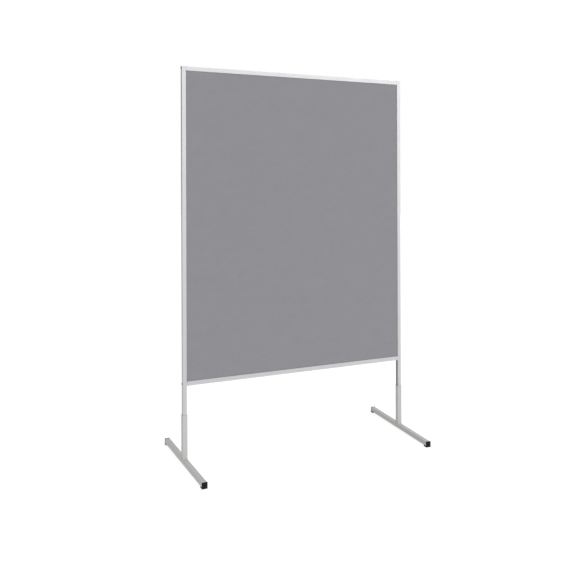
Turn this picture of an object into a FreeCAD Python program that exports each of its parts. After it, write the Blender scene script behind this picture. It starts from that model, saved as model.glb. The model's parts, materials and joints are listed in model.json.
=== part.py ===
"""Free-standing pin-board partition wall on two push-on T feet.

Frame: millimetres, +Z up, the floor at Z = 0, the front face looks along -Y and X runs to the
right along the board. The origin is on the floor, midway between the two posts.

Two full-height aluminium posts and two rails of one grooved section hold a covered pin panel.
The posts carry on below the panel as legs and drop into the square steel sleeves of two feet.
"""
import FreeCAD, Part
import math
import os
import Sketcher
from FreeCAD import Placement, Rotation, Vector

DRIVING_SIZES = (
    # the framed board
    ("board_width", 1200, "outside of the left post to outside of the right post"),
    ("board_height", 1500, "underside of the bottom rail to the top of the posts"),
    ("ground_gap", 370, "floor to the underside of the bottom rail"),
    # the extruded section of posts and rails
    ("frame_face", 20, "width of the section seen from the front"),
    ("frame_depth", 20, "thickness of the section from front to back"),
    ("frame_wall", 1.5, "outer wall and web of the section"),
    ("frame_lip", 1.6, "lip in front of and behind the panel"),
    ("groove_depth", 5, "how far the panel groove goes into the section"),
    ("frame_corner", 1.2, "rounding of the section's long edges"),
    ("port_radius", 4, "screw port inside the rails, outside radius"),
    ("port_offset", 8.5, "centre of the screw port from the section's outer face"),
    ("port_rib", 1.5, "thickness of the ribs that carry the screw port"),
    # the panel and its two covers
    ("panel_edge_gap", 0.5, "gap between the panel's edge and the bottom of the groove"),
    ("panel_face_gap", 0.1, "gap between each cover and the lip over it"),
    ("cover_thickness", 1.5, "felt cover on each side of the panel"),
    # plastic end pieces of the posts
    ("cap_plate", 1.5, "top cap, the plate that covers the section"),
    ("plug_plate", 2, "bottom plug, the plate that stands on the foot"),
    ("insert_screw_gap", 0.75, "gap between the end of an insert and the nearest screw hole"),
    ("insert_gap", 0.2, "gap between an insert and the walls around it"),
    # corner screws
    ("screw_radius", 2.4, "shank of the corner screws"),
    ("screw_bite", 12, "how far a corner screw reaches into its rail"),
    ("screw_head_radius", 4.75, "pan head of the corner screws"),
    ("screw_head_height", 2.2, "how far the pan head stands out"),
    ("screw_crown", 1.7, "rounding of the pan head's rim"),
    ("screw_hole_gap", 0.35, "gap between the shank and its holes in the post"),
    ("screw_port_gap", 0.05, "gap between the shank and the bore of its port"),
    ("screw_socket", 3, "hexagon socket of the corner screws, across flats"),
    ("screw_socket_depth", 1.5, "depth of the corner screws' sockets"),
    # the steel tube of sleeves and beams
    ("sleeve_gap", 0.5, "sliding gap around a post inside its sleeve"),
    ("tube_wall", 1.5, "wall of the sleeves and beams"),
    ("tube_corner", 2, "rounding of the tubes' long edges"),
    ("beam_height", 22, "height of the floor beams"),
    ("sleeve_height", 206, "length of the upright sleeve"),
    ("foot_length", 590, "end to end of a foot, caps included"),
    ("toe_in", 2.4, "degrees that each foot's front is turned in, within its sleeve's play"),
    ("foot_gap", 5, "floor to the underside of the beam"),
    ("weld_leg", 2.5, "leg of the weld bead in front of and behind the sleeve"),
    # the moulded end caps of the beams
    ("end_plate", 4, "thickness of the cap beyond the end of the beam"),
    ("end_lip", 1, "how far the cap stands out around the beam"),
    ("end_corner", 2.5, "rounding of the cap's upright edges"),
    ("end_top_corner", 1.5, "rounding of the cap's top edges"),
    ("end_insert", 18, "how far the cap reaches into the beam"),
    ("pad_length", 20, "length of the floor pad under the beam"),
    # the lock of each foot
    ("lock_height", 150, "lock screw above the top of the beam"),
    ("lock_radius", 3, "thread of the lock screw"),
    ("lock_length", 8, "length of the lock screw"),
    ("lock_gap", 0.25, "gap between the loosened lock screw and the post"),
    ("lock_play", 0.05, "running gap around the lock screw"),
    ("nut_flats", 10, "weld nut, across flats"),
    ("nut_height", 5, "height of the weld nut"),
    ("socket_flats", 3, "hexagon socket of the lock screw, across flats"),
    ("socket_depth", 3, "depth of the lock screw's socket"),
    ("lock_bevel", 0.6, "bevel on both ends of the lock screw"),
)

SIDES = (("left", -1), ("right", 1))
TOUCH = 1e-3    # millimetres, or cubic millimetres, below which two values count as equal

doc = FreeCAD.newDocument("partition_wall")
sizes = doc.addObject("Spreadsheet::Sheet", "sizes")
for row, (alias, size, meaning) in enumerate(DRIVING_SIZES, start=1):
    sizes.set(f"A{row}", alias)
    sizes.set(f"B{row}", str(size))
    sizes.set(f"C{row}", meaning)
    sizes.setAlias(f"B{row}", alias)
doc.recompute()

# sizes and places that follow from the sheet, as expressions
BEAM_TOP = "(sizes.foot_gap + sizes.beam_height)"
POST_BASE = f"({BEAM_TOP} + sizes.plug_plate)"
BOARD_TOP = "(sizes.ground_gap + sizes.board_height)"
POST_LENGTH = f"({BOARD_TOP} - {POST_BASE})"
POST_X = "(sizes.board_width / 2 - sizes.frame_face / 2)"
RAIL_LENGTH = "(sizes.board_width - 2 * sizes.frame_face)"
GROOVE_WIDTH = "(sizes.frame_depth - 2 * sizes.frame_lip)"
CHAMBER_WIDTH = "(sizes.frame_depth - 2 * sizes.frame_wall)"
CHAMBER_LENGTH = "(sizes.frame_face - 2 * sizes.frame_wall - sizes.groove_depth)"
CHAMBER_X = f"(sizes.frame_wall + {CHAMBER_LENGTH} / 2 - sizes.frame_face / 2)"
PORT_X = "(sizes.port_offset - sizes.frame_face / 2)"
SCREW_HOLE = "(sizes.screw_radius + sizes.screw_hole_gap)"
INSERT_LENGTH = f"(sizes.port_offset - {SCREW_HOLE} - sizes.insert_screw_gap)"
PANEL_OVERLAP = "(sizes.groove_depth - sizes.panel_edge_gap)"
PANEL_WIDTH = f"({RAIL_LENGTH} + 2 * {PANEL_OVERLAP})"
PANEL_HEIGHT = f"(sizes.board_height - 2 * sizes.frame_face + 2 * {PANEL_OVERLAP})"
PANEL_BOTTOM = f"(sizes.ground_gap + sizes.frame_face - {PANEL_OVERLAP})"
CORE_THICKNESS = f"({GROOVE_WIDTH} - 2 * sizes.panel_face_gap - 2 * sizes.cover_thickness)"
SLEEVE_X = "(sizes.frame_face + 2 * sizes.sleeve_gap + 2 * sizes.tube_wall)"
SLEEVE_Y = "(sizes.frame_depth + 2 * sizes.sleeve_gap + 2 * sizes.tube_wall)"
BEAM_LENGTH = "(sizes.foot_length - 2 * sizes.end_plate)"
LOCK_Z = f"({BEAM_TOP} + sizes.lock_height)"

parts = []


def number(expression):
    """The value of an expression now, in millimetres."""
    return float(sizes.evalExpression(expression))


def bind(thing, **expressions):
    """Set properties of an object from expressions over the sheet."""
    for name, expression in expressions.items():
        thing.setExpression(name, expression)


def place(thing, x="0", y="0", z="0", rotation=Rotation()):
    """Put a sub-part where the expressions say, turned by a fixed rotation."""
    thing.Placement = Placement(Vector(number(x), number(y), number(z)), rotation)
    for axis, expression in (("x", x), ("y", y), ("z", z)):
        thing.setExpression(f"Placement.Base.{axis}", expression)


def place_on_foot(thing, sign, y, z, rotation=Rotation()):
    """Put a piece of a foot at y from its post's axis, turned with the foot about that axis."""
    toe_in = Rotation(Vector(0, 0, 1), -sign * number("sizes.toe_in"))
    x = f"{sign} * ({POST_X} + ({y}) * sin(sizes.toe_in))"
    place(thing, x, f"({y}) * cos(sizes.toe_in)", z, toe_in * rotation)


def finish(thing, label):
    """Name a sub-part and put it on the list of pieces to write."""
    thing.Label = label
    parts.append(thing)
    return thing


def new_body(label):
    return finish(doc.addObject("PartDesign::Body", label), label)


def new_sketch(body, name, role="XY_Plane"):
    """A sketch on one of the body's own origin planes."""
    sketch = body.newObject("Sketcher::SketchObject", f"{body.Label}_{name}")
    plane = next(item for item in body.Origin.OriginFeatures if item.Role == role)
    sketch.AttachmentSupport = [(plane, "")]
    sketch.MapMode = "FlatFace"
    return sketch


def bound_constraint(sketch, name, expression, kind, *geometry):
    """A named dimension of a sketch that follows the sheet."""
    index = sketch.addConstraint(Sketcher.Constraint(kind, *geometry, number(expression)))
    sketch.renameConstraint(index, name)
    sketch.setExpression(f"Constraints.{name}", expression)


def add_rectangle(sketch, name, width, height, centre_x="0", centre_y="0"):
    """A rectangle of bound width and height about a bound centre."""
    half_w, half_h = number(width) / 2, number(height) / 2
    mid_x, mid_y = number(centre_x), number(centre_y)
    corners = [
        Vector(mid_x + sign_x * half_w, mid_y + sign_y * half_h, 0)
        for sign_x, sign_y in ((-1, -1), (1, -1), (1, 1), (-1, 1))
    ]
    first = sketch.GeometryCount
    for index in range(4):
        sketch.addGeometry(Part.LineSegment(corners[index], corners[(index + 1) % 4]), False)
    for index in range(4):
        following = first + (index + 1) % 4
        sketch.addConstraint(Sketcher.Constraint("Coincident", first + index, 2, following, 1))
        direction = "Horizontal" if index % 2 == 0 else "Vertical"
        sketch.addConstraint(Sketcher.Constraint(direction, first + index))
    bound_constraint(sketch, f"{name}_width", width, "DistanceX", first, 1, first, 2)
    bound_constraint(sketch, f"{name}_height", height, "DistanceY", first + 1, 1, first + 1, 2)
    left = f"{centre_x} - {width} / 2"
    low = f"{centre_y} - {height} / 2"
    bound_constraint(sketch, f"{name}_left", left, "DistanceX", -1, 1, first, 1)
    bound_constraint(sketch, f"{name}_low", low, "DistanceY", -1, 1, first, 1)


def add_circle(sketch, name, radius, centre_x="0", centre_y="0"):
    """A circle of bound radius about a bound centre."""
    centre = Vector(number(centre_x), number(centre_y), 0)
    index = sketch.addGeometry(Part.Circle(centre, Vector(0, 0, 1), number(radius)), False)
    bound_constraint(sketch, f"{name}_radius", radius, "Radius", index)
    bound_constraint(sketch, f"{name}_x", centre_x, "DistanceX", -1, 1, index, 3)
    bound_constraint(sketch, f"{name}_y", centre_y, "DistanceY", -1, 1, index, 3)


def add_hexagon(sketch, name, flats):
    """A regular hexagon about the origin, sized across its flats."""
    corner = number(flats) / math.sqrt(3)
    points = [
        Vector(corner * math.cos(math.radians(60 * turn)), corner * math.sin(math.radians(60 * turn)), 0)
        for turn in range(6)
    ]
    guide = sketch.addGeometry(Part.Circle(Vector(), Vector(0, 0, 1), corner), True)
    sketch.addConstraint(Sketcher.Constraint("Coincident", guide, 3, -1, 1))
    bound_constraint(sketch, f"{name}_corner", f"{flats} / sqrt(3)", "Radius", guide)
    first = sketch.GeometryCount
    for index in range(6):
        sketch.addGeometry(Part.LineSegment(points[index], points[(index + 1) % 6]), False)
    for index in range(6):
        following = first + (index + 1) % 6
        sketch.addConstraint(Sketcher.Constraint("Coincident", first + index, 2, following, 1))
        sketch.addConstraint(Sketcher.Constraint("PointOnObject", first + index, 1, guide))
    for index in range(1, 6):
        sketch.addConstraint(Sketcher.Constraint("Equal", first, first + index))
    sketch.addConstraint(Sketcher.Constraint("PointOnObject", first, 1, -1))


def pad(body, sketch, length, backwards=False):
    feature = body.newObject("PartDesign::Pad", f"{sketch.Name}_pad")
    feature.Profile = sketch
    feature.Reversed = backwards
    bind(feature, Length=length)
    doc.recompute()
    return feature


def pocket(body, sketch, length, backwards=False):
    """Cut a sketch into the body and make sure that it removed something."""
    volume_before = body.Shape.Volume
    feature = body.newObject("PartDesign::Pocket", f"{sketch.Name}_pocket")
    feature.Profile = sketch
    feature.Reversed = backwards
    bind(feature, Length=length)
    doc.recompute()
    if not body.Shape.Volume < volume_before - TOUCH:
        raise RuntimeError(f"{feature.Name} cuts nothing")
    return feature


def edges_along(shape, direction, choose):
    """Names of the straight edges that run along a direction and that choose() accepts."""
    names = []
    for index, edge in enumerate(shape.Edges, start=1):
        if not isinstance(edge.Curve, (Part.Line, Part.LineSegment)):
            continue
        along = (edge.Vertexes[-1].Point - edge.Vertexes[0].Point).normalize()
        if abs(along.dot(direction)) > 0.999 and choose(edge.CenterOfMass):
            names.append(f"Edge{index}")
    return names


def circles_at(shape, height_ok):
    """Names of the round edges whose centre height_ok() accepts."""
    return [
        f"Edge{index}" for index, edge in enumerate(shape.Edges, start=1)
        if isinstance(edge.Curve, Part.Circle) and height_ok(edge.Curve.Center)
    ]


def dress(body, kind, name, edges, **size):
    """A fillet or chamfer on named edges of the body's current shape."""
    base = body.Tip
    feature = body.newObject(f"PartDesign::{kind}", f"{body.Label}_{name}")
    feature.Base = (base, edges)
    bind(feature, **size)
    doc.recompute()


def round_edges(body, name, radius, direction, choose):
    """Round the chosen straight edges of the body's current shape."""
    dress(body, "Fillet", name, edges_along(body.Shape, direction, choose), Radius=radius)


def at_corner(half_x, half_y):
    """True for a point over one of the four corners of a centred rectangle."""
    def choose(point):
        return abs(abs(point.x) - half_x) < TOUCH and abs(abs(point.y) - half_y) < TOUCH
    return choose


def grooved_section(body, length):
    """The common extrusion: a chamber outside, a panel groove towards +X, along +Z."""
    outline = new_sketch(body, "outline")
    add_rectangle(outline, "face", "sizes.frame_face", "sizes.frame_depth")
    pad(body, outline, length)
    groove = new_sketch(body, "groove")
    groove_x = "(sizes.frame_face / 2 - sizes.groove_depth / 2)"
    add_rectangle(groove, "groove", "sizes.groove_depth", GROOVE_WIDTH, groove_x)
    pocket(body, groove, length, backwards=True)
    chamber = new_sketch(body, "chamber")
    add_rectangle(chamber, "chamber", CHAMBER_LENGTH, CHAMBER_WIDTH, CHAMBER_X)
    pocket(body, chamber, length, backwards=True)
    half_x = number("sizes.frame_face / 2")
    half_y = number("sizes.frame_depth / 2")
    round_edges(body, "long_edges", "sizes.frame_corner", Vector(0, 0, 1), at_corner(half_x, half_y))


def make_post(side, sign):
    """A post: the section from the foot to the top, with two screw holes across it."""
    body = new_body(f"{side}_post")
    grooved_section(body, POST_LENGTH)
    holes = new_sketch(body, "screw_holes", "YZ_Plane")
    low = f"(sizes.ground_gap - {POST_BASE} + sizes.port_offset)"
    add_circle(holes, "low", SCREW_HOLE, "0", low)
    add_circle(holes, "high", SCREW_HOLE, "0", f"({POST_LENGTH} - sizes.port_offset)")
    crossing = pocket(body, holes, "2 * sizes.frame_face")
    crossing.SideType = "Symmetric"
    groove_inwards = Rotation(Vector(0, 0, 1), 0 if sign < 0 else 180)
    place(body, f"{sign} * {POST_X}", "0", POST_BASE, groove_inwards)


def make_rail(name, groove_up):
    """A rail: the section between the posts, with a ribbed screw port all along it."""
    body = new_body(name)
    grooved_section(body, RAIL_LENGTH)
    port = new_sketch(body, "port")
    add_circle(port, "port", "sizes.port_radius", PORT_X)
    pad(body, port, RAIL_LENGTH)
    ribs = new_sketch(body, "ribs")
    rib_span = f"({CHAMBER_WIDTH} + sizes.frame_lip)"
    add_rectangle(ribs, "ribs", "sizes.port_rib", rib_span, PORT_X)
    pad(body, ribs, RAIL_LENGTH)
    bore = new_sketch(body, "bore")
    add_circle(bore, "bore", "(sizes.screw_radius + sizes.screw_port_gap)", PORT_X)
    pocket(body, bore, RAIL_LENGTH, backwards=True)
    up = 1 if groove_up else -1
    turn = Rotation(Vector(0, 0, up), Vector(0, -up, 0), Vector(1, 0, 0), "XYZ")
    height = "(sizes.ground_gap + sizes.frame_face / 2)" if groove_up \
        else f"({BOARD_TOP} - sizes.frame_face / 2)"
    place(body, f"-{RAIL_LENGTH} / 2", "0", height, turn)


def make_slab(label, thickness, middle_y):
    """A flat sheet of the panel's outline, as thick as given, about a plane of constant Y."""
    slab = finish(doc.addObject("Part::Box", label), label)
    bind(slab, Length=PANEL_WIDTH, Width=thickness, Height=PANEL_HEIGHT)
    place(slab, f"-{PANEL_WIDTH} / 2", f"{middle_y} - {thickness} / 2", PANEL_BOTTOM)


def make_post_end(label, sign, plate, height, turn):
    """A moulded cap: a plate over the section and an insert in its chamber, along +Z."""
    body = new_body(label)
    cover = new_sketch(body, "plate")
    add_rectangle(cover, "plate", "sizes.frame_face", "sizes.frame_depth")
    pad(body, cover, plate)
    insert = new_sketch(body, "insert")
    insert_x = f"({CHAMBER_LENGTH} - 2 * sizes.insert_gap)"
    insert_y = f"({CHAMBER_WIDTH} - 2 * sizes.insert_gap)"
    add_rectangle(insert, "insert", insert_x, insert_y, CHAMBER_X)
    pad(body, insert, INSERT_LENGTH, backwards=True)
    half_x = number("sizes.frame_face / 2")
    half_y = number("sizes.frame_depth / 2")
    round_edges(body, "corners", "sizes.frame_corner", Vector(0, 0, 1), at_corner(half_x, half_y))
    place(body, f"{sign} * {POST_X}", "0", height, turn)


def make_top_cap(side, sign):
    turn = Rotation(Vector(0, 0, 1), 0 if sign < 0 else 180)
    make_post_end(f"{side}_post_top_cap", sign, "sizes.cap_plate", BOARD_TOP, turn)


def make_bottom_plug(side, sign):
    """The same moulding upside down, with the chamber kept on the outer side."""
    turn = Rotation(Vector(1, 0, 0), 180) if sign < 0 else Rotation(Vector(0, 1, 0), 180)
    make_post_end(f"{side}_post_bottom_plug", sign, "sizes.plug_plate", POST_BASE, turn)


def make_corner_screw(label, sign, height):
    """A pan-head screw along local +Z, its head's seat at local zero, its shank below."""
    body = new_body(label)
    shank = new_sketch(body, "shank")
    add_circle(shank, "shank", "sizes.screw_radius")
    pad(body, shank, "(sizes.frame_face + sizes.screw_bite)", backwards=True)
    head = new_sketch(body, "head")
    add_circle(head, "head", "sizes.screw_head_radius")
    pad(body, head, "sizes.screw_head_height")
    head_top = number("sizes.screw_head_height")
    rim = circles_at(body.Shape, lambda centre: abs(centre.z - head_top) < TOUCH)
    dress(body, "Fillet", "crown", rim, Radius="sizes.screw_crown")
    socket = new_sketch(body, "socket")
    bind(socket, **{"AttachmentOffset.Base.z": "sizes.screw_head_height"})
    add_hexagon(socket, "socket", "sizes.screw_socket")
    doc.recompute()
    pocket(body, socket, "sizes.screw_socket_depth")
    outwards = Rotation(Vector(0, 1, 0), sign * 90)
    place(body, f"{sign} * sizes.board_width / 2", "0", height, outwards)


def make_tube(body, size_x, size_y, length):
    """Steel tube along +Z with rounded long edges outside."""
    outline = new_sketch(body, "outline")
    add_rectangle(outline, "tube", size_x, size_y)
    pad(body, outline, length)
    bore = new_sketch(body, "bore")
    bore_x = f"({size_x} - 2 * sizes.tube_wall)"
    bore_y = f"({size_y} - 2 * sizes.tube_wall)"
    add_rectangle(bore, "bore", bore_x, bore_y)
    pocket(body, bore, length, backwards=True)
    corner = at_corner(number(size_x) / 2, number(size_y) / 2)
    round_edges(body, "long_edges", "sizes.tube_corner", Vector(0, 0, 1), corner)


def make_beam(side, sign):
    """The floor beam of a foot, centred under its post and close to square to the board."""
    body = new_body(f"{side}_foot_beam")
    make_tube(body, SLEEVE_X, "sizes.beam_height", BEAM_LENGTH)
    along_y = Rotation(Vector(1, 0, 0), -90)
    height = "(sizes.foot_gap + sizes.beam_height / 2)"
    place_on_foot(body, sign, f"-{BEAM_LENGTH} / 2", height, along_y)


def make_sleeve(side, sign):
    """The upright sleeve that the post drops into, with the lock's hole in its rear wall."""
    body = new_body(f"{side}_foot_sleeve")
    make_tube(body, SLEEVE_X, SLEEVE_Y, "sizes.sleeve_height")
    hole = new_sketch(body, "lock_hole", "XZ_Plane")
    add_circle(hole, "lock", "(sizes.lock_radius + sizes.lock_play)", "0", "sizes.lock_height")
    pocket(body, hole, SLEEVE_Y)
    place_on_foot(body, sign, "0", BEAM_TOP)


def make_weld(side, sign):
    """Two quarter-round beads where the sleeve stands on the beam, in front and behind."""
    beads = []
    length = f"({SLEEVE_X} - 2 * sizes.tube_corner)"
    for name, facing in (("front", -1), ("rear", 1)):
        bead = doc.addObject("Part::Cylinder", f"{side}_{name}_bead")
        bead.Angle = 90
        bind(bead, Radius="sizes.weld_leg", Height=length)
        turn = Rotation(Vector(0, facing, 0), Vector(0, 0, 1), Vector(facing, 0, 0), "XYZ")
        place(bead, f"-{facing} * {length} / 2", f"{facing} * {SLEEVE_Y} / 2", "0", turn)
        beads.append(bead)
    weld = finish(doc.addObject("Part::Compound", f"{side}_foot_weld"), f"{side}_foot_weld")
    weld.Links = beads
    place_on_foot(weld, sign, "0", BEAM_TOP)


def make_end_cap(side, sign, end, turn, facing):
    """Moulded cap: a plate over the beam's end, an insert inside it and a pad on the floor."""
    body = new_body(f"{side}_foot_{end}_cap")
    width = f"({SLEEVE_X} + 2 * sizes.end_lip)"
    height = "(sizes.foot_gap + sizes.beam_height + sizes.end_lip)"
    plate = new_sketch(body, "plate", "XZ_Plane")
    add_rectangle(plate, "plate", width, height, "0", f"{height} / 2")
    pad(body, plate, "sizes.end_plate")
    insert = new_sketch(body, "insert", "XZ_Plane")
    insert_x = f"({SLEEVE_X} - 2 * sizes.tube_wall - 2 * sizes.insert_gap)"
    insert_z = "(sizes.beam_height - 2 * sizes.tube_wall - 2 * sizes.insert_gap)"
    axis_height = "(sizes.foot_gap + sizes.beam_height / 2)"
    add_rectangle(insert, "insert", insert_x, insert_z, "0", axis_height)
    pad(body, insert, "sizes.end_insert", backwards=True)
    floor_pad = new_sketch(body, "pad", "XZ_Plane")
    add_rectangle(floor_pad, "pad", width, "sizes.foot_gap", "0", "sizes.foot_gap / 2")
    pad(body, floor_pad, "sizes.pad_length", backwards=True)
    half_width = number(f"{width} / 2")
    plate_top = number(height)

    def on_plate_top(point):
        return abs(abs(point.x) - half_width) < TOUCH and abs(point.z - plate_top) < TOUCH

    def on_plate_front(point):
        return abs(abs(point.x) - half_width) < TOUCH and point.y < -number("sizes.end_plate") / 2

    round_edges(body, "front_edges", "sizes.end_corner", Vector(0, 0, 1), on_plate_front)
    round_edges(body, "top_edges", "sizes.end_top_corner", Vector(0, 1, 0), on_plate_top)
    place_on_foot(body, sign, f"{facing} * {BEAM_LENGTH} / 2", "0", turn)


def make_lock_nut(side, sign):
    """Hexagon nut welded over the hole in the sleeve's rear wall."""
    body = new_body(f"{side}_lock_nut")
    outline = new_sketch(body, "outline", "XZ_Plane")
    add_hexagon(outline, "nut", "sizes.nut_flats")
    add_circle(outline, "thread", "(sizes.lock_radius + sizes.lock_play)")
    pad(body, outline, "sizes.nut_height", backwards=True)
    place_on_foot(body, sign, f"{SLEEVE_Y} / 2", LOCK_Z)


def make_lock_screw(side, sign):
    """Set screw with a hexagon socket in its outer end and a bevel at its tip."""
    body = new_body(f"{side}_lock_screw")
    shank = new_sketch(body, "shank", "XZ_Plane")
    add_circle(shank, "thread", "sizes.lock_radius")
    pad(body, shank, "sizes.lock_length", backwards=True)
    dress(body, "Chamfer", "bevel", circles_at(body.Shape, lambda centre: True), Size="sizes.lock_bevel")
    socket = new_sketch(body, "socket", "XZ_Plane")
    bind(socket, **{"AttachmentOffset.Base.z": "-sizes.lock_length"})
    add_hexagon(socket, "socket", "sizes.socket_flats")
    doc.recompute()
    pocket(body, socket, "sizes.socket_depth", backwards=True)
    place_on_foot(body, sign, "sizes.frame_depth / 2 + sizes.lock_gap", LOCK_Z)


def make_board():
    for side, sign in SIDES:
        make_post(side, sign)
        make_top_cap(side, sign)
        make_bottom_plug(side, sign)
    make_rail("top_rail", groove_up=False)
    make_rail("bottom_rail", groove_up=True)
    cover_y = f"({CORE_THICKNESS} / 2 + sizes.cover_thickness / 2)"
    make_slab("panel_core", CORE_THICKNESS, "0")
    make_slab("front_felt", "sizes.cover_thickness", f"-{cover_y}")
    make_slab("back_felt", "sizes.cover_thickness", cover_y)
    for side, sign in SIDES:
        make_corner_screw(f"top_{side}_corner_screw", sign, f"({BOARD_TOP} - sizes.port_offset)")
        make_corner_screw(f"bottom_{side}_corner_screw", sign, "(sizes.ground_gap + sizes.port_offset)")


def make_feet():
    for side, sign in SIDES:
        make_beam(side, sign)
        make_sleeve(side, sign)
        make_weld(side, sign)
        make_end_cap(side, sign, "front", Rotation(), -1)
        make_end_cap(side, sign, "rear", Rotation(Vector(0, 0, 1), 180), 1)
        make_lock_nut(side, sign)
        make_lock_screw(side, sign)


def check_document():
    """Stop if any object failed or any sub-part is missing, broken or not closed."""
    doc.recompute()
    for thing in doc.Objects:
        if "Invalid" in thing.State or "Error" in thing.State:
            raise RuntimeError(f"{thing.Label} did not build: {thing.State}")
    for part in parts:
        if part.Shape.isNull() or not part.Shape.isValid() or not part.Shape.Solids:
            raise RuntimeError(f"{part.Label} has no valid solid")


def write_parts():
    os.makedirs("parts", exist_ok=True)
    for part in parts:
        part.Shape.exportStep(f"parts/{part.Label}.step")
        print(f"{part.Label}: {len(part.Shape.Solids)} solid(s), {part.Shape.Volume / 1000:.2f} cm3")


make_board()
make_feet()
check_document()
write_parts()
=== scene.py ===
"""Looks of a free-standing partition wall: a felt-covered pin panel in an aluminium frame.

The framed panel stands on two push-on feet of powder-coated steel. The frame, the feet and
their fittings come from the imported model. This script adds the felt covers and the weld beads,
gives every piece its finish, and sets up the studio. Lengths are in metres, +Z is up and the
front faces -Y.
"""
import json
import math

import bpy
import numpy as np
from bpy.props import (
    FloatProperty, FloatVectorProperty, IntProperty, PointerProperty,
)
from bpy.types import NodeSocket, Operator, Panel, PropertyGroup, Scene
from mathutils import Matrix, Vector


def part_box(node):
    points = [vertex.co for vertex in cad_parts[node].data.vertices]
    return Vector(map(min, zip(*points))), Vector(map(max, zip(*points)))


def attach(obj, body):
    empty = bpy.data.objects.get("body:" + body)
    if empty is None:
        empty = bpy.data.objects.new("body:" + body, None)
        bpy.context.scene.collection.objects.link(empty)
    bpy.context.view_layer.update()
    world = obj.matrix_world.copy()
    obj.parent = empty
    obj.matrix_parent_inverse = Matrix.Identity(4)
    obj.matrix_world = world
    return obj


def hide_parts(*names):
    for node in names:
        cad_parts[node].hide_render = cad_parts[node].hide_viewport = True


bl_info = {
    "name": "Partition Wall",
    "version": (1, 0, 0),
    "blender": (4, 5, 0),
    "location": "View3D > Sidebar > Partition Wall",
    "description": "Builds the felt covers, weld beads, finishes and studio of a partition wall",
    "category": "Object",
}

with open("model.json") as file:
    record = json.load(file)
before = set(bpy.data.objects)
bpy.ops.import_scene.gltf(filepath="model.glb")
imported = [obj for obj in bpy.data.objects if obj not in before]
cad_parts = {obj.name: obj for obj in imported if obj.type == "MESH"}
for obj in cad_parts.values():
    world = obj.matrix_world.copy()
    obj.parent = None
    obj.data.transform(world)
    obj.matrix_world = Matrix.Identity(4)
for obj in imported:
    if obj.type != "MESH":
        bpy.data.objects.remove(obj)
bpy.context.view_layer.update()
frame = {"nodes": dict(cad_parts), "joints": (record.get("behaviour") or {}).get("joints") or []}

MM = 0.001
SIDES = ("left", "right")

# The range in which nearly all values of a noise pattern lie.
NOISE_LOW, NOISE_HIGH = 0.3, 0.7
# Degrees by which the felt's strands lean within the board's plane.
STRAND_TURNS = (12, 49, 83, 121, 158)
# How far apart the felt's slow waves are along X and Z, as a pair for each of the two wave
# trains. A minus slants a train the other way.
FELT_WAVES = ((130 * MM, 310 * MM), (-470 * MM, 210 * MM))
# The level direction in which the studio is brightest: the right and a little to the front.
BRIGHT_SIDE = (0.88, -0.475, 0)
# Each lamp's side, height and spread in degrees. A side of 0 is straight from the front, and
# one below 0 is to the left.
LAMPS = {"key": (-22, 32, 40), "fill": (50, 25, 60)}
# Where each side's weld bead starts in its slow swelling, in radians. The two differ.
SWAY_STARTS = {"left": 4, "right": 5}
# Width of the camera's sensor in millimetres, that of full-frame film.
SENSOR_WIDTH = 36


# ---------------------------------------------------------------- colours and nodes

def linear(hex_colour):
    """Linear red, green, blue and alpha of an sRGB hex colour such as #919095."""
    shares = [int(hex_colour[place:place + 2], 16) / 255 for place in (1, 3, 5)]
    return (*(s / 12.92 if s <= 0.04045 else ((s + 0.055) / 1.055) ** 2.4 for s in shares), 1.0)


def add_node(tree, kind, settings=None, inputs=None):
    """Adds a node, sets its settings, and fills its inputs with values or links to sockets."""
    node = tree.nodes.new(kind)
    for name, value in (settings or {}).items():
        setattr(node, name, value)
    for name, value in (inputs or {}).items():
        if isinstance(value, NodeSocket):
            tree.links.new(value, node.inputs[name])
        else:
            node.inputs[name].default_value = value
    return node


def new_material(name, colour, values):
    """A material whose one shader has the given colour and values, and its node tree."""
    material = bpy.data.materials.new(name)
    material.use_nodes = True
    material.diffuse_color = colour
    tree = material.node_tree
    tree.nodes.clear()
    shader = add_node(tree, "ShaderNodeBsdfPrincipled", inputs={"Base Color": colour, **values})
    add_node(tree, "ShaderNodeOutputMaterial", inputs={"Surface": shader.outputs["BSDF"]})
    return material, tree, shader


def scaled_noise(tree, grain_mm, detail, distortion=0.0, turn=0.0):
    """Noise over Object coordinates whose grains measure grain_mm along X, Y and Z.

    One number stands for all three. The turn, in degrees about Y, slants long grains within the
    board's plane.
    """
    grains = np.broadcast_to(grain_mm, 3) * MM
    place = add_node(tree, "ShaderNodeTexCoord")
    mapping = add_node(tree, "ShaderNodeMapping", {"vector_type": "TEXTURE"}, {
        "Vector": place.outputs["Object"], "Scale": grains.tolist(),
        "Rotation": (0, math.radians(turn), 0),
    })
    noise = add_node(tree, "ShaderNodeTexNoise", inputs={
        "Vector": mapping.outputs["Vector"], "Scale": 1.0, "Detail": detail,
        "Distortion": distortion,
    })
    return noise.outputs["Fac"]


def spread(tree, pattern, low, high):
    """Stretches the useful middle of a noise pattern to the values from low to high."""
    reach = add_node(tree, "ShaderNodeMapRange", inputs={
        "Value": pattern, "From Min": NOISE_LOW, "From Max": NOISE_HIGH,
        "To Min": low, "To Max": high,
    })
    return reach.outputs["Result"]


def about_one(tree, pattern, share):
    """A noise pattern as a factor that is up to the given share above or below 1."""
    return spread(tree, pattern, 1 - share, 1 + share)


def tone(tree, colour, *strengths):
    """The colour, made lighter and darker by patterns that multiply its value."""
    for strength in strengths:
        shade = add_node(tree, "ShaderNodeHueSaturation", inputs={
            "Color": colour, "Value": strength,
        })
        colour = shade.outputs["Color"]
    return colour


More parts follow.
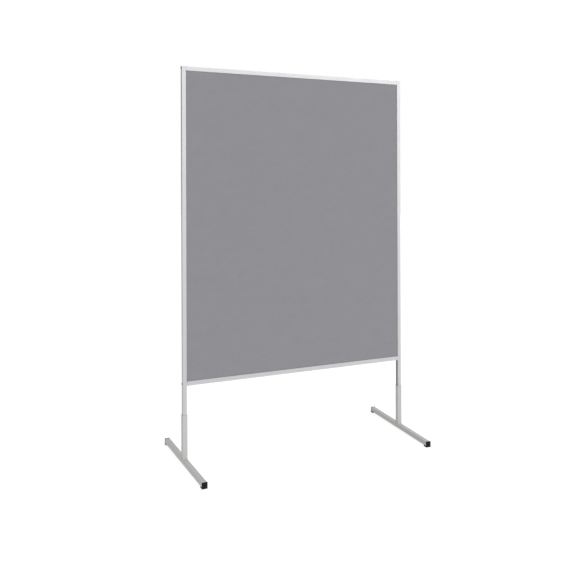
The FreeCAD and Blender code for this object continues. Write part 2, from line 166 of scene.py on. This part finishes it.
def raise_surface(tree, shader, pattern, height_mm):
    """Bump of the given height on top of whatever bump the shader already has."""
    inputs = {"Height": pattern, "Distance": height_mm * MM, "Strength": 1.0}
    if shader.inputs["Normal"].is_linked:
        inputs["Normal"] = shader.inputs["Normal"].links[0].from_socket
    bump = add_node(tree, "ShaderNodeBump", inputs=inputs)
    tree.links.new(bump.outputs["Normal"], shader.inputs["Normal"])


# ---------------------------------------------------------------- materials

def needle_felt(settings):
    """Needle-punched polyester felt: no gloss, a soft sheen, fibres matted in all directions.

    The fibres are 0.03 mm thick. Here they are matted into 0.7 mm strands, drawn that coarse so
    that they show, over 4 mm clumps and 60 mm clouds left by the carding of the fleece.
    """
    colour = tuple(settings.colour) + (1.0,)
    material, tree, shader = new_material("needle_felt", colour, {
        "Roughness": 0.95, "IOR": 1.46, "Specular IOR Level": 0.25,
        "Sheen Weight": settings.sheen, "Sheen Roughness": 0.55,
    })
    strand_mm = settings.strand / MM
    # A strand shows for some six times its thickness before it dives under others.
    visible_mm = (strand_mm, strand_mm, 6 * strand_mm)
    strands = [
        scaled_noise(tree, visible_mm, detail=3, distortion=1.5, turn=turn)
        for turn in STRAND_TURNS
    ]
    clumps = scaled_noise(tree, grain_mm=4, detail=3, distortion=0.4)
    clouds = scaled_noise(tree, grain_mm=(60, 60, 45), detail=2, distortion=0.8)
    mottled = tone(
        tree, colour, about_one(tree, clumps, 0.035), about_one(tree, clouds, 0.022),
        *(about_one(tree, pattern, 0.045) for pattern in strands),
    )
    tree.links.new(mottled, shader.inputs["Base Color"])
    raise_surface(tree, shader, clumps, height_mm=0.10)
    for pattern in strands:
        raise_surface(tree, shader, pattern, height_mm=0.05)
    return material


def anodised_aluminium(settings, run):
    """Natural anodised aluminium extrusion: a satin metal with die lines along its run.

    The lines are 0.1 mm wide on the real section and are drawn 0.5 mm wide so that they show.
    A haze over some 90 mm makes the gloss uneven. The etched surface under the clear oxide
    swallows some of the light that grazes it, so the metal is darker where it is seen edge on.
    The floor of the posts' groove is darkened with painted shade, standing in for the shade that
    falls in it.
    """
    colour = tuple(settings.colour) + (1.0,)
    material, tree, shader = new_material(f"anodised_aluminium_{run.lower()}", colour, {
        "Metallic": 1.0, "Roughness": settings.roughness,
        "Specular Tint": (settings.edge_tint,) * 3 + (1.0,),
    })
    width_mm, length_mm = 0.5, 6000
    grain = {"X": (length_mm, width_mm, width_mm), "Z": (width_mm, width_mm, length_mm)}[run]
    lines = scaled_noise(tree, grain, detail=2)
    haze = scaled_noise(tree, grain_mm=90, detail=2, distortion=0.5)
    low, high = settings.roughness - 0.03, settings.roughness + 0.03
    tree.links.new(spread(tree, haze, low, high), shader.inputs["Roughness"])
    lines_and_painted_shade = tone(tree, colour, about_one(tree, lines, 0.02))
    if run == "Z":
        # Painted shade: the colour is darkened on the floors of the posts' grooves.
        lines_and_painted_shade = tone(tree, lines_and_painted_shade, painted_groove_shade(tree, settings))
    tree.links.new(lines_and_painted_shade, shader.inputs["Base Color"])
    raise_surface(tree, shader, lines, height_mm=0.004)
    return material


def painted_groove_shade(tree, settings):
    """The painted shade on the floors of the posts' grooves, a factor on their colour, and 1
    everywhere else.

    A point counts as a groove's floor if it lies between the two felts' outer faces and no
    further out than their edges and the edge clearance.
    """
    low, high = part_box("front_felt")
    place = add_node(tree, "ShaderNodeTexCoord")
    axes = add_node(tree, "ShaderNodeSeparateXYZ", inputs={"Vector": place.outputs["Object"]})
    limits = {"X": high.x + settings.edge_clearance, "Y": -low.y}
    inside = 1.0
    for axis, limit in limits.items():
        distance = add_node(tree, "ShaderNodeMath", {"operation": "ABSOLUTE"}, {
            0: axes.outputs[axis],
        })
        within = add_node(tree, "ShaderNodeMath", {"operation": "LESS_THAN"}, {
            0: distance.outputs["Value"], 1: limit,
        })
        both = add_node(tree, "ShaderNodeMath", {"operation": "MULTIPLY"}, {
            0: within.outputs["Value"], 1: inside,
        })
        inside = both.outputs["Value"]
    shade = add_node(tree, "ShaderNodeMapRange", inputs={
        "Value": inside, "To Min": 1.0, "To Max": settings.groove,
    })
    return shade.outputs["Result"]


def powder_coat(settings):
    """Baked polyester powder over steel: a hard satin paint with a shallow orange peel.

    The peel's waves are 1.5 mm long. Fine specks of 0.4 mm break up the tone.
    """
    colour = tuple(settings.colour) + (1.0,)
    material, tree, shader = new_material("powder_coat", colour, {
        "Roughness": 0.42, "IOR": 1.5,
    })
    peel = scaled_noise(tree, grain_mm=1.5, detail=1, distortion=0.2)
    specks = scaled_noise(tree, grain_mm=0.4, detail=2)
    speckled = tone(tree, colour, about_one(tree, specks, 0.015))
    tree.links.new(speckled, shader.inputs["Base Color"])
    tree.links.new(spread(tree, peel, 0.39, 0.45), shader.inputs["Roughness"])
    raise_surface(tree, shader, peel, height_mm=0.02)
    return material


def moulded_plastic(name, hex_colour, roughness, specular):
    """Injection-moulded polyethylene: dull, with the 0.3 mm spark-eroded grain of its mould.

    Scuffs over some 8 mm make the gloss uneven.
    """
    colour = linear(hex_colour)
    material, tree, shader = new_material(name, colour, {
        "Roughness": roughness, "IOR": 1.51, "Specular IOR Level": specular,
    })
    grain = scaled_noise(tree, grain_mm=0.3, detail=2)
    scuffs = scaled_noise(tree, grain_mm=8, detail=3, distortion=0.6)
    worn = spread(tree, scuffs, roughness - 0.06, roughness + 0.06)
    tree.links.new(worn, shader.inputs["Roughness"])
    grained = tone(tree, colour, about_one(tree, grain, 0.06))
    tree.links.new(grained, shader.inputs["Base Color"])
    raise_surface(tree, shader, grain, height_mm=0.02)
    return material


def plated_steel(name, hex_colour, roughness):
    """Zinc-plated steel: a thin metal coat that is cloudy over some 3 mm."""
    colour = linear(hex_colour)
    material, tree, shader = new_material(name, colour, {
        "Metallic": 1.0, "Roughness": roughness,
    })
    clouds = scaled_noise(tree, grain_mm=3, detail=3, distortion=0.5)
    cloudy = tone(tree, colour, spread(tree, clouds, 0.9, 1.08))
    tree.links.new(cloudy, shader.inputs["Base Color"])
    dulled = spread(tree, clouds, roughness - 0.05, roughness + 0.07)
    tree.links.new(dulled, shader.inputs["Roughness"])
    return material


def honeycomb_board(hex_colour):
    """Kraft-faced honeycomb board: brown paper with 2 mm flecks of pulp."""
    colour = linear(hex_colour)
    material, tree, shader = new_material("kraft_board", colour, {"Roughness": 0.9, "IOR": 1.45})
    flecks = scaled_noise(tree, grain_mm=2, detail=4, distortion=0.6)
    flecked = tone(tree, colour, about_one(tree, flecks, 0.1))
    tree.links.new(flecked, shader.inputs["Base Color"])
    raise_surface(tree, shader, flecks, height_mm=0.03)
    return material


def studio_floor(settings):
    """Matt studio floor, plain grey, with a faint unevenness over a metre.

    It is lit from below as well as from above, so that it looks white and the feet throw hardly
    any shadow on it.
    """
    colour = tuple(settings.floor_colour) + (1.0,)
    material, tree, shader = new_material("studio_floor", colour, {
        "Roughness": 0.9, "Specular IOR Level": 0.1,
        "Emission Color": (1, 1, 1, 1), "Emission Strength": settings.glow,
    })
    patches = scaled_noise(tree, grain_mm=1000, detail=1)
    patchy = tone(tree, colour, about_one(tree, patches, 0.003))
    tree.links.new(patchy, shader.inputs["Base Color"])
    return material


# ---------------------------------------------------------------- surfaces

def grid_faces(rows, columns, closed_rows=False, closed_columns=False):
    """Quads over a grid of points stored row by row, wrapped round where a way is closed."""
    row = np.arange(rows if closed_rows else rows - 1)[:, None]
    column = np.arange(columns if closed_columns else columns - 1)[None, :]
    next_row = (row + 1) % rows
    next_column = (column + 1) % columns
    corners = (
        row * columns + column, row * columns + next_column,
        next_row * columns + next_column, next_row * columns + column,
    )
    quads = [np.broadcast_to(corner, (row.size, column.size)) for corner in corners]
    return np.stack(quads, -1).reshape(-1, 4)


def mesh_object(name, points, faces, material):
    """A smooth mesh object at the origin from arrays of points and faces."""
    mesh = bpy.data.meshes.new(name)
    mesh.from_pydata(points.reshape(-1, 3), [], faces)
    mesh.polygons.foreach_set("use_smooth", np.full(len(faces), True))
    mesh.materials.append(material)
    mesh.update()
    piece = bpy.data.objects.new(name, mesh)
    bpy.context.scene.collection.objects.link(piece)
    return piece


def node_points(name):
    """The corner points of a CAD node's mesh, one row each."""
    mesh = frame["nodes"][name].data
    points = np.empty(len(mesh.vertices) * 3)
    mesh.vertices.foreach_get("co", points)
    return points.reshape(-1, 3)


def paint(material, *names):
    """Gives CAD nodes a material in place of the plain one that they came with."""
    for name in names:
        slots = frame["nodes"][name].data.materials
        slots.clear()
        slots.append(material)


def felt_sheet(name, side, settings, material):
    """A stretched sheet of felt in the place of the CAD cover.

    The side is -1 for the front of the board and 1 for the back.
    The outer face is a grid over the cover's width and height. It sinks below the cover's outer
    plane by relief * (2 + sin(w1) + sin(w2)) / 4, and by nothing at the edges, which the frame's
    lips hold. Each w is 2 pi (x / a + z / b) + start, where a and b are the lengths of its wave
    train, and the start differs between the two faces of the board.
    """
    low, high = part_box(name)
    columns = round((high.x - low.x) / settings.spacing) + 1
    rows = round((high.z - low.z) / settings.spacing) + 1
    x, z = np.meshgrid(np.linspace(low.x, high.x, columns), np.linspace(low.z, high.z, rows))
    first, second = (
        np.sin(2 * math.pi * (x / along_x + z / along_z) + start)
        for (along_x, along_z), start in zip(FELT_WAVES, (side, -side))
    )
    from_edge = np.minimum.reduce([x - low.x, high.x - x, z - low.z, high.z - z])
    held = np.clip(from_edge / settings.held_edge, 0, 1)
    sink = settings.relief * held * (2 + first + second) / 4
    outer = low.y if side < 0 else high.y
    points = np.stack([x, outer - side * sink, z], -1)
    faces = grid_faces(rows, columns)
    if side > 0:
        faces = faces[:, ::-1]
    piece = mesh_object(f"{name}_sheet", points, faces, material)
    body = piece.modifiers.new("thickness", "SOLIDIFY")
    body.thickness = (high.y - low.y) - settings.relief
    body.offset = -1
    return piece


def rounded_outline(half_x, half_y, corner, count):
    """Points and outward normals at equal steps round a rectangle with round corners.

    The outline is four quarter circles, each about a centre set in from its corner by the
    corner radius, joined by straight runs, and it is walked by its length.
    """
    arc_points = 9
    quarter = np.arange(4)[:, None]
    angle = np.linspace(0, math.pi / 2, arc_points)[None, :] + quarter * math.pi / 2
    centre_x = np.array([1, -1, -1, 1])[:, None] * (half_x - corner)
    centre_y = np.array([1, 1, -1, -1])[:, None] * (half_y - corner)
    x = (centre_x + corner * np.cos(angle)).ravel()
    y = (centre_y + corner * np.sin(angle)).ravel()
    x, y = np.append(x, x[0]), np.append(y, y[0])
    walked = np.append(0, np.cumsum(np.hypot(np.diff(x), np.diff(y))))
    steps = np.linspace(0, walked[-1], count, endpoint=False)
    points = np.stack([np.interp(steps, walked, x), np.interp(steps, walked, y)], -1)
    along = np.roll(points, -1, 0) - np.roll(points, 1, 0)
    along /= np.linalg.norm(along, axis=1, keepdims=True)
    return steps, points, np.stack([along[:, 1], -along[:, 0]], -1)


def weld_ring(side, settings, material):
    """The bead round a sleeve's foot, a section carried round the sleeve's outline.

    The section's radius is r0 * f * (1 + ripple * |cos(pi n t)| + sway * sin(2 pi m t + start)),
    where t goes from 0 to 1 round the sleeve, n and m are the numbers of ripples and swells,
    and f goes from 1 in front and behind to flank at the sides. The section's outer and upper
    halves have that radius. Its inner and lower halves are squashed, so that they end inside
    the walls of the two tubes.
    """
    joint = next(j for j in frame["joints"] if j["name"] == f"{side}_lock_turn")
    along = np.array(joint["axis"][:2])
    across = np.array([along[1], -along[0]])
    sleeve = node_points(f"{side}_foot_sleeve")
    centre = (sleeve[:, :2].min(0) + sleeve[:, :2].max(0)) / 2
    half_x = np.abs((sleeve[:, :2] - centre) @ across).max()
    half_y = np.abs((sleeve[:, :2] - centre) @ along).max()
    base = sleeve[:, 2].min()
    count = settings.steps_round
    steps, points, normals = rounded_outline(half_x, half_y, settings.corner, count)
    length = steps[-1] + steps[1]
    turn = steps / length
    ripples = round(length / settings.pitch)
    ripple = settings.ripple * np.abs(np.cos(math.pi * ripples * turn))
    swells = 3
    sway = settings.sway * np.sin(2 * math.pi * swells * turn + SWAY_STARTS[side])
    on_flat = np.abs(normals[:, 1])
    fullness = settings.flank + (1 - settings.flank) * on_flat
    radius = settings.radius * fullness * (1 + ripple + sway)
    angle = np.linspace(0, 2 * math.pi, settings.steps_section, endpoint=False)
    out, rise = (
        np.where(wave > 0, wave, settings.squash * wave) for wave in (np.cos(angle), np.sin(angle))
    )
    reach = (radius[:, None] * out[None, :])[:, :, None]
    flat = points[:, None, :] + normals[:, None, :] * reach
    plan = centre + flat[:, :, :1] * across + flat[:, :, 1:] * along
    height = base + radius[:, None] * rise[None, :] - settings.sink * (1 - on_flat[:, None])
    ring = np.concatenate([plan, height[:, :, None]], -1)
    faces = grid_faces(count, settings.steps_section, True, True)
    return mesh_object(f"{side}_weld_bead", ring, faces, material)


# ---------------------------------------------------------------- settings

class FeltSettings(PropertyGroup):
    """The two felt covers of the pin panel."""

    colour: FloatVectorProperty(
        name="Colour", description="Colour of the felt", subtype="COLOR", size=3,
        min=0, max=1, default=linear("#727175")[:3],
    )
    sheen: FloatProperty(
        name="Sheen", description="Soft light on the standing fibres", default=0.12, min=0, max=1,
    )
    strand: FloatProperty(
        name="Strand", description="Thickness of a matted strand", default=0.7 * MM, unit="LENGTH",
    )
    relief: FloatProperty(
        name="Relief", description="Depth of the sheet's slow waves", default=0.35 * MM,
        unit="LENGTH",
    )
    spacing: FloatProperty(
        name="Grid", description="Spacing of the sheet's points", default=8 * MM, unit="LENGTH",
    )
    held_edge: FloatProperty(
        name="Held edge", description="Width over which the waves die out at the frame",
        default=40 * MM, unit="LENGTH",
    )


class FrameSettings(PropertyGroup):
    """The aluminium extrusions."""

    colour: FloatVectorProperty(
        name="Colour", description="Tint of the anodised aluminium", subtype="COLOR", size=3,
        min=0, max=1, default=linear("#B4B4B5")[:3],
    )
    roughness: FloatProperty(
        name="Roughness", description="Roughness of the satin metal", default=0.53, min=0, max=1,
    )
    edge_tint: FloatProperty(
        name="Edge tint", description="Brightness of the metal where it is seen edge on",
        default=0.65, min=0, max=1,
    )
    # Painted shade: the factor that darkens the colour of the posts' groove floors.
    groove: FloatProperty(
        name="Groove", description="Brightness of the groove's floor against the outer faces",
        default=0.75, min=0, max=1,
    )
    # Sets how far the mask of the painted groove shade reaches.
    edge_clearance: FloatProperty(
        name="Edge clearance",
        description="How far past the covers' edges the groove's floor may be",
        default=0.7 * MM, unit="LENGTH",
    )


class FootSettings(PropertyGroup):
    """The coated steel feet."""

    colour: FloatVectorProperty(
        name="Colour", description="Colour of the powder coat", subtype="COLOR", size=3,
        min=0, max=1, default=linear("#9D9D9C")[:3],
    )


class WeldSettings(PropertyGroup):
    """The weld bead round the base of each sleeve."""

    radius: FloatProperty(
        name="Radius", description="Size of the bead", default=2.1 * MM, unit="LENGTH",
    )
    corner: FloatProperty(
        name="Corner", description="Rounding of the sleeve's edges", default=2 * MM, unit="LENGTH",
    )
    pitch: FloatProperty(
        name="Pitch", description="Length of one ripple of the bead", default=1.7 * MM,
        unit="LENGTH",
    )
    ripple: FloatProperty(
        name="Ripple", description="Height of a ripple as a share of the radius", default=0.12,
    )
    sway: FloatProperty(
        name="Sway", description="Slow swelling of the bead as a share of the radius",
        default=0.06,
    )
    flank: FloatProperty(
        name="Flank", description="Size of the bead at the sides against front and back",
        default=0.55,
    )
    squash: FloatProperty(
        name="Squash", description="Depth of the bead's hidden halves against the radius",
        default=0.5,
    )
    sink: FloatProperty(
        name="Sink", description="How far the bead drops over the beam's rounded edges",
        default=0.7 * MM, unit="LENGTH",
    )
    steps_round: IntProperty(
        name="Steps round", description="Points round the sleeve", default=480, min=48,
    )
    steps_section: IntProperty(
        name="Steps across", description="Points round the bead", default=20, min=8,
    )


class StageSettings(PropertyGroup):
    """The studio: floor, lights and camera."""

    floor_colour: FloatVectorProperty(
        name="Floor", description="Colour of the floor", subtype="COLOR", size=3,
        min=0, max=1, default=linear("#929292")[:3],
    )
    floor_radius: FloatProperty(
        name="Floor radius", description="Radius of the round floor", default=30, unit="LENGTH",
    )
    glow: FloatProperty(
        name="Glow", description="Brightness of the floor from the light below it", default=0.77,
    )
    surround: FloatProperty(
        name="Surround", description="Brightness of the room around the object", default=0.95,
    )
    slant: FloatProperty(
        name="Slant", description="How much brighter the bright side of the room is",
        default=0.57,
    )
    backdrop: FloatProperty(
        name="Backdrop", description="Brightness of the room as the camera sees it", default=1.0,
    )
    key: FloatProperty(
        name="Key", description="Strength of the light from the front left", default=0.95,
    )
    fill: FloatProperty(
        name="Fill", description="Strength of the light from the front right", default=1.15,
    )
    lens: FloatProperty(
        name="Lens", description="Focal length", default=41.92, unit="CAMERA",
    )
    camera_place: FloatVectorProperty(
        name="Camera", description="Where the camera stands", subtype="XYZ", size=3,
        unit="LENGTH", default=(-1.4154, -3.1469, 1.2982),
    )
    camera_turn: FloatProperty(
        name="Turn", description="Heading of the camera, to the left of +Y", subtype="ANGLE",
        default=math.radians(-23.83),
    )
    camera_roll: FloatProperty(
        name="Roll", description="Sideways tilt of the camera", subtype="ANGLE",
        default=math.radians(0.18),
    )
    camera_shift: FloatProperty(
        name="Shift", description="Vertical shift that frames the feet", default=-0.1682,
    )


class WallSettings(PropertyGroup):
    """Everything that a user would change on the partition wall."""

    felt: PointerProperty(name="Felt", description="The felt covers", type=FeltSettings)
    frame: PointerProperty(name="Frame", description="The aluminium frame", type=FrameSettings)
    foot: PointerProperty(name="Feet", description="The steel feet", type=FootSettings)
    weld: PointerProperty(name="Welds", description="The weld beads", type=WeldSettings)
    stage: PointerProperty(name="Stage", description="The studio", type=StageSettings)


# ---------------------------------------------------------------- operators

class WALL_OT_frame_finish(Operator):
    """Give the posts and the rails their anodised finish, with die lines along each run, and
    painted shade on the floors of the posts' grooves
    """

    bl_idname = "wall.frame_finish"
    bl_label = "Finish the Frame"

    def execute(self, context):
        settings = context.scene.partition_wall.frame
        paint(anodised_aluminium(settings, "Z"), "left_post", "right_post")
        paint(anodised_aluminium(settings, "X"), "top_rail", "bottom_rail")
        return {"FINISHED"}


class WALL_OT_panel(Operator):
    """Stretch the two felt covers over the core board"""

    bl_idname = "wall.panel"
    bl_label = "Cover the Panel"

    def execute(self, context):
        settings = context.scene.partition_wall.felt
        felt = needle_felt(settings)
        for name, side in (("front_felt", -1), ("back_felt", 1)):
            sheet = felt_sheet(name, side, settings, felt)
            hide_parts(name)
            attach(sheet, "board")
        paint(honeycomb_board("#B99B6B"), "panel_core")
        return {"FINISHED"}


class WALL_OT_fittings(Operator):
    """Finish the plastic end pieces, the corner screws and the lock screws"""

    bl_idname = "wall.fittings"
    bl_label = "Finish the Fittings"

    def execute(self, context):
        grey = moulded_plastic("grey_polyethylene", "#C4C5C6", roughness=0.4, specular=0.5)
        black = moulded_plastic("black_polyethylene", "#070708", roughness=0.55, specular=0.15)
        dark = plated_steel("black_zinc", "#3A3B3E", roughness=0.35)
        bright = plated_steel("bright_zinc", "#C3C5C6", roughness=0.28)
        for side in SIDES:
            paint(grey, f"{side}_post_top_cap", f"{side}_post_bottom_plug")
            paint(black, f"{side}_foot_front_cap", f"{side}_foot_rear_cap")
            paint(dark, f"top_{side}_corner_screw", f"bottom_{side}_corner_screw")
            paint(bright, f"{side}_lock_screw")
        return {"FINISHED"}


class WALL_OT_feet(Operator):
    """Coat the feet and lay the weld beads round their sleeves"""

    bl_idname = "wall.feet"
    bl_label = "Finish the Feet"

    def execute(self, context):
        settings = context.scene.partition_wall
        coat = powder_coat(settings.foot)
        for side in SIDES:
            paint(coat, f"{side}_foot_beam", f"{side}_foot_sleeve", f"{side}_lock_nut")
            bead = weld_ring(side, settings.weld, coat)
            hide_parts(f"{side}_foot_weld")
            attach(bead, f"{side}_foot")
        return {"FINISHED"}


class WALL_OT_stage(Operator):
    """Lay the floor, light the studio and place the camera"""

    bl_idname = "wall.stage"
    bl_label = "Set the Stage"

    def execute(self, context):
        settings = context.scene.partition_wall.stage
        self.lay_floor(settings)
        self.light_room(context.scene, settings)
        self.light_lamps(settings)
        self.place_camera(context.scene, settings)
        return {"FINISHED"}

    def lay_floor(self, settings):
        """A round floor: rings of points at radius R * (k / rings) ** 2 about the origin."""
        rings, spokes = 10, 96
        distance = settings.floor_radius * (np.arange(1, rings + 1) / rings) ** 2
        angle = np.linspace(0, 2 * math.pi, spokes, endpoint=False)
        x, y = (np.outer(distance, wave(angle)) for wave in (np.cos, np.sin))
        rim = np.stack([x, y, np.zeros_like(x)], -1).reshape(-1, 3)
        points = np.concatenate([rim, [[0, 0, 0]]])
        spoke = np.arange(spokes)
        middle = np.stack([spoke, (spoke + 1) % spokes, np.full(spokes, len(rim))], -1)
        faces = grid_faces(rings, spokes, closed_columns=True)[:, ::-1].tolist() + middle.tolist()
        mesh_object("studio_floor", points, faces, studio_floor(settings))

    def light_room(self, scene, settings):
        """A soft room whose walls brighten towards the bright side.

        The brightness in a direction w is surround * (1 + slant * w . d), where d is the bright
        side's direction. The camera sees an even backdrop instead.
        """
        world = bpy.data.worlds.new("studio")
        world.use_nodes = True
        tree = world.node_tree
        tree.nodes.clear()
        place = add_node(tree, "ShaderNodeTexCoord")
        towards = add_node(tree, "ShaderNodeVectorMath", {"operation": "DOT_PRODUCT"}, {
            0: place.outputs["Generated"], 1: BRIGHT_SIDE,
        })
        slant = settings.surround * settings.slant
        walls = add_node(tree, "ShaderNodeMath", {"operation": "MULTIPLY_ADD"}, {
            0: towards.outputs["Value"], 1: slant, 2: settings.surround,
        })
        path = add_node(tree, "ShaderNodeLightPath")
        level = add_node(tree, "ShaderNodeMix", inputs={
            "Factor": path.outputs["Is Camera Ray"], "A": walls.outputs["Value"],
            "B": settings.backdrop,
        })
        room = add_node(tree, "ShaderNodeBackground", inputs={
            "Color": (1, 1, 1, 1), "Strength": level.outputs["Result"],
        })
        add_node(tree, "ShaderNodeOutputWorld", inputs={"Surface": room.outputs["Background"]})
        scene.world = world
        scene.view_settings.view_transform = "Standard"

    def light_lamps(self, settings):
        """The broad soft lamps, each turned to its side and tipped down from its height."""
        for name, (side, height, width) in LAMPS.items():
            light = bpy.data.lights.new(name, "SUN")
            light.energy = getattr(settings, name)
            light.angle = math.radians(width)
            lamp = bpy.data.objects.new(name, light)
            lamp.rotation_euler = (math.radians(90 - height), 0, math.radians(side))
            bpy.context.scene.collection.objects.link(lamp)

    def place_camera(self, scene, settings):
        """A camera that looks level, with its picture shifted down to take in the feet."""
        lens = bpy.data.cameras.new("camera")
        lens.lens = settings.lens
        lens.sensor_width = SENSOR_WIDTH
        lens.shift_y = settings.camera_shift
        camera = bpy.data.objects.new("camera", lens)
        camera.location = settings.camera_place
        camera.rotation_euler = (math.pi / 2, settings.camera_roll, settings.camera_turn)
        scene.collection.objects.link(camera)
        scene.camera = camera


OPERATORS = (
    WALL_OT_frame_finish, WALL_OT_panel, WALL_OT_fittings, WALL_OT_feet, WALL_OT_stage,
)


class WALL_PT_panel(Panel):
    """Steps and settings of the partition wall"""

    bl_idname = "WALL_PT_panel"
    bl_label = "Partition Wall"
    bl_space_type = "VIEW_3D"
    bl_region_type = "UI"
    bl_category = "Partition Wall"

    def draw(self, context):
        for operator in OPERATORS:
            self.layout.operator(operator.bl_idname)
        settings = context.scene.partition_wall
        for group in ("felt", "frame", "foot", "weld", "stage"):
            box = self.layout.box()
            values = getattr(settings, group)
            for name in values.__annotations__:
                box.prop(values, name)


CLASSES = (
    FeltSettings, FrameSettings, FootSettings, WeldSettings, StageSettings, WallSettings,
    *OPERATORS, WALL_PT_panel,
)


def register():
    for cls in CLASSES:
        bpy.utils.register_class(cls)
    Scene.partition_wall = PointerProperty(type=WallSettings)


def unregister():
    del Scene.partition_wall
    for cls in reversed(CLASSES):
        bpy.utils.unregister_class(cls)


def main():
    """Registers the add-on and runs its steps in order."""
    register()
    for operator in OPERATORS:
        group, name = operator.bl_idname.split(".")
        getattr(getattr(bpy.ops, group), name)()


if __name__ == "__main__":
    main()
